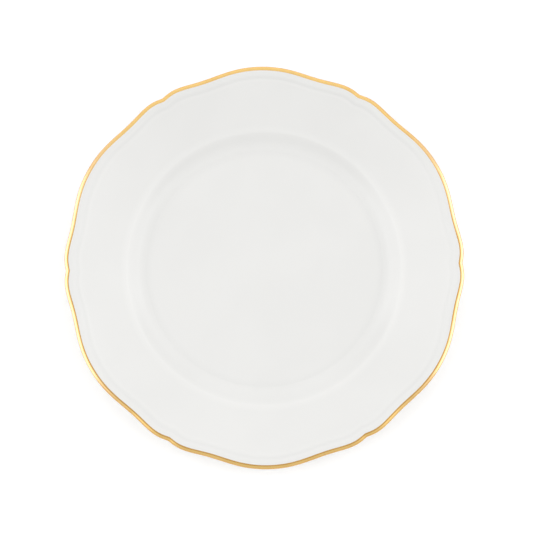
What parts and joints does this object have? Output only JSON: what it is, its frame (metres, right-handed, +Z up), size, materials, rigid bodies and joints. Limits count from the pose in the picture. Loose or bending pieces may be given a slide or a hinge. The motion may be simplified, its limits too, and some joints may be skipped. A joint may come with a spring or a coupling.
{
  "type": "dinner plate",
  "caption": "Flat porcelain dinner plate with a scalloped rim, a moulded border inside the edge, a recessed well on a foot ring, and a gilded edge.",
  "frame": {"origin": "middle of the plane that the foot ring stands on", "axes": "+Z up along the plate's axis, out of the well; +X through a notch of the rim, so that a lobe's crest points along +Y and -Y"},
  "size_m": [0.262, 0.265, 0.0228],
  "materials": {
    "bare_porcelain": "matte",
    "clear_glaze": "gloss",
    "burnished_gold": "polished"
  },
  "bodies": {
    "root": {"porcelain_body": "bare_porcelain", "glaze_coat": "clear_glaze", "foot_well_glaze": "clear_glaze", "gold_rim_band": "burnished_gold"}
  },
  "joints": []
}
